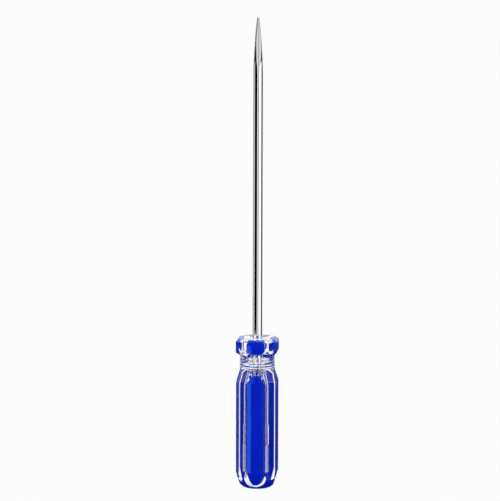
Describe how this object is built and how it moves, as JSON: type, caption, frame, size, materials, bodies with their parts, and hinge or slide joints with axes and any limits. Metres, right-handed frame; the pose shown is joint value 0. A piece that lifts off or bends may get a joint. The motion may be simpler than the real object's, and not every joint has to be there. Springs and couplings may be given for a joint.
{
  "type": "reversible blade screwdriver",
  "caption": "Hand screwdriver: a long round steel blade pulls out of a clear fluted handle with blue panels and reverses from its slotted tip to its cross tip.",
  "frame": {"origin": "centre of the flat foot at the butt of the handle", "axes": "+Z along the bar from the butt to the slotted tip, -Y towards the front panel"},
  "size_m": [0.0258, 0.0258, 0.2945],
  "materials": {
    "clear_acetate": "clear, polished",
    "panel_blue": "smooth satin",
    "plated_steel": "bright plated, tip ground",
    "sintered_steel": "matt sintered",
    "spring_steel": "rolled strip"
  },
  "bodies": {
    "handle": {"handle_grip": "clear_acetate", "grip_panel_front": "panel_blue", "grip_panel_right": "panel_blue", "grip_panel_rear": "panel_blue", "grip_panel_left": "panel_blue", "collar_panel_front": "panel_blue", "collar_panel_right": "panel_blue", "collar_panel_rear": "panel_blue", "collar_panel_left": "panel_blue", "drive_socket": "sintered_steel", "grip_spring": "spring_steel"},
    "blade": {"blade": "plated_steel"}
  },
  "joints": [
    {"name": "blade_pull", "type": "slide", "parent": "handle", "child": "blade", "axis": [0, 0, 1], "range_m": [0, 0.085]}
  ]
}
